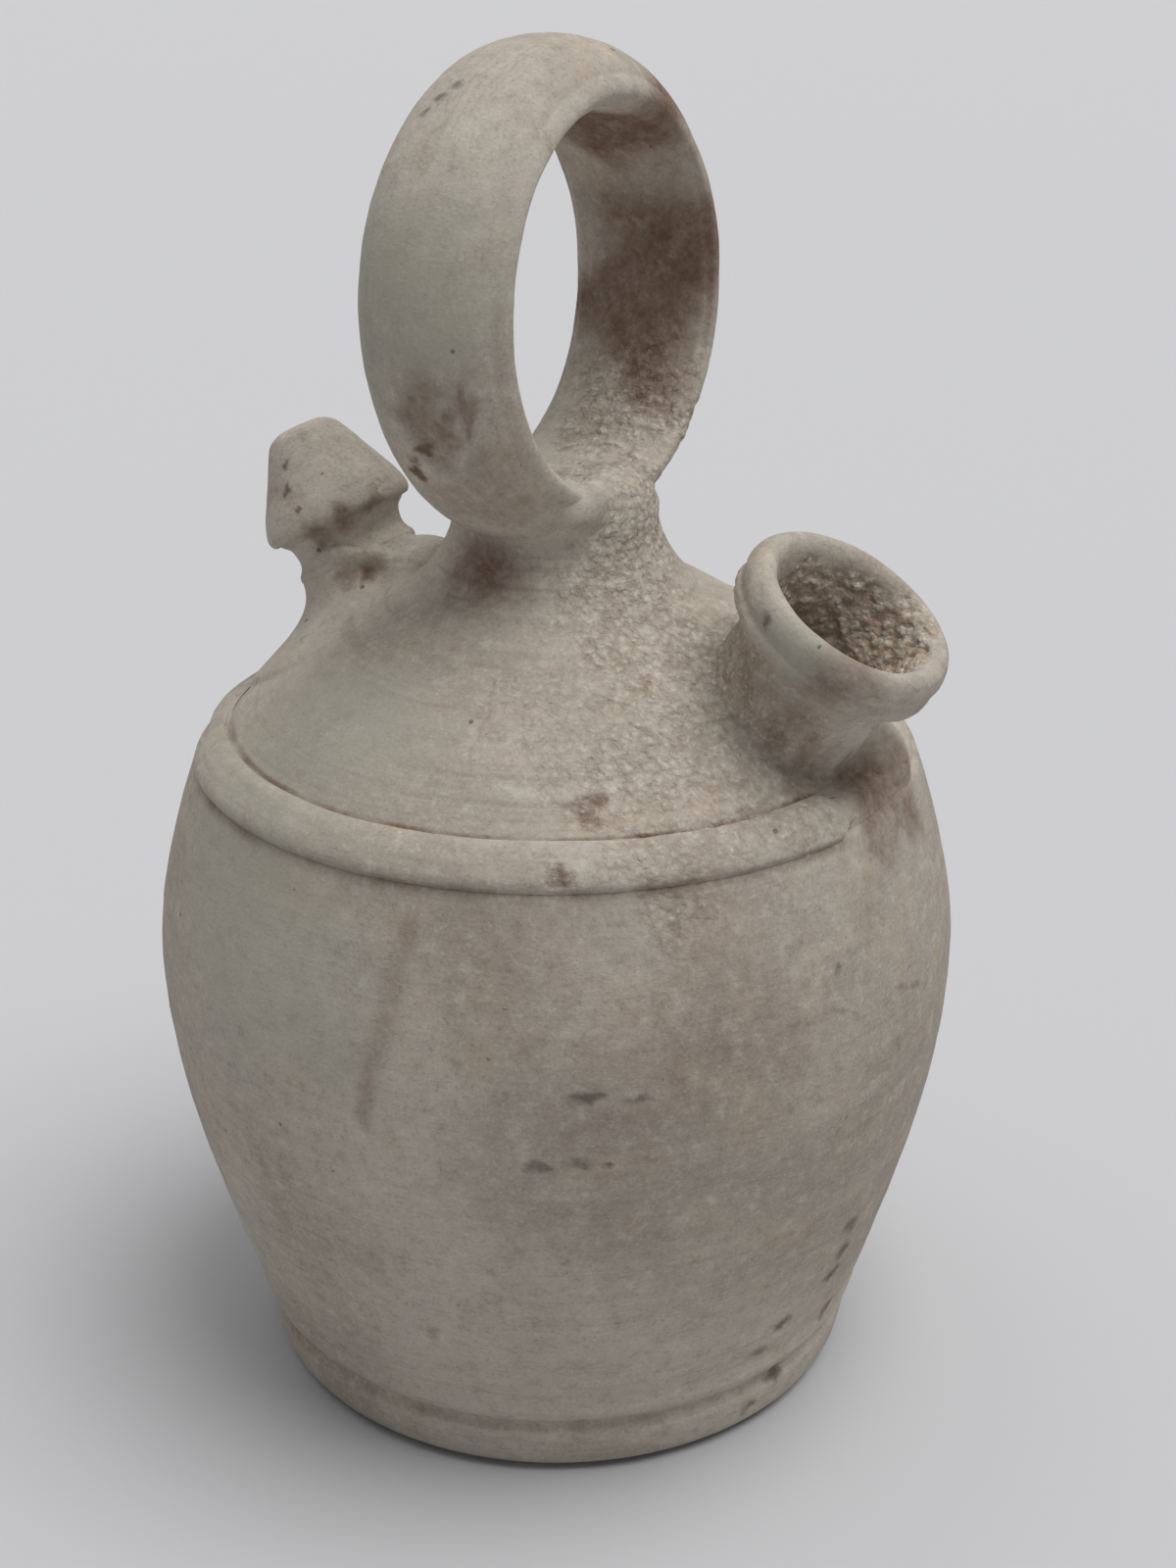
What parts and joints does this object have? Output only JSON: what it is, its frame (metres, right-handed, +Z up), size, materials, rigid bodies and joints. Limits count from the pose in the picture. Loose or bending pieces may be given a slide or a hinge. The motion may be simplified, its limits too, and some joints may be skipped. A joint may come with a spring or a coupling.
{
  "type": "botijo water jug",
  "caption": "Closed unglazed clay water jug with a ring handle on top, a rimmed filling mouth and a small drinking spout",
  "frame": {"origin": "centre of the flat base, where the jug stands", "axes": "+Z up along the throwing axis, +X towards the filling mouth, -X towards the drinking spout; the ring handle's axis runs along X"},
  "size_m": [0.184, 0.184, 0.3052],
  "materials": {
    "clay_body": "matte",
    "clay_shoulder": "matte",
    "clay_handle": "matte",
    "clay_mouth": "matte",
    "clay_spout": "matte",
    "luting_clay": "matte"
  },
  "bodies": {
    "root": {"belly_pot": "clay_body", "shoulder_dome": "clay_shoulder", "shoulder_cordon": "clay_shoulder", "handle_stem": "clay_handle", "handle_ring": "clay_handle", "handle_saddle": "luting_clay", "mouth_tube": "clay_mouth", "mouth_luting": "luting_clay", "luting_tongue": "luting_clay", "spout_neck": "clay_spout", "spout_nozzle": "clay_spout", "spout_luting": "luting_clay"}
  },
  "joints": []
}
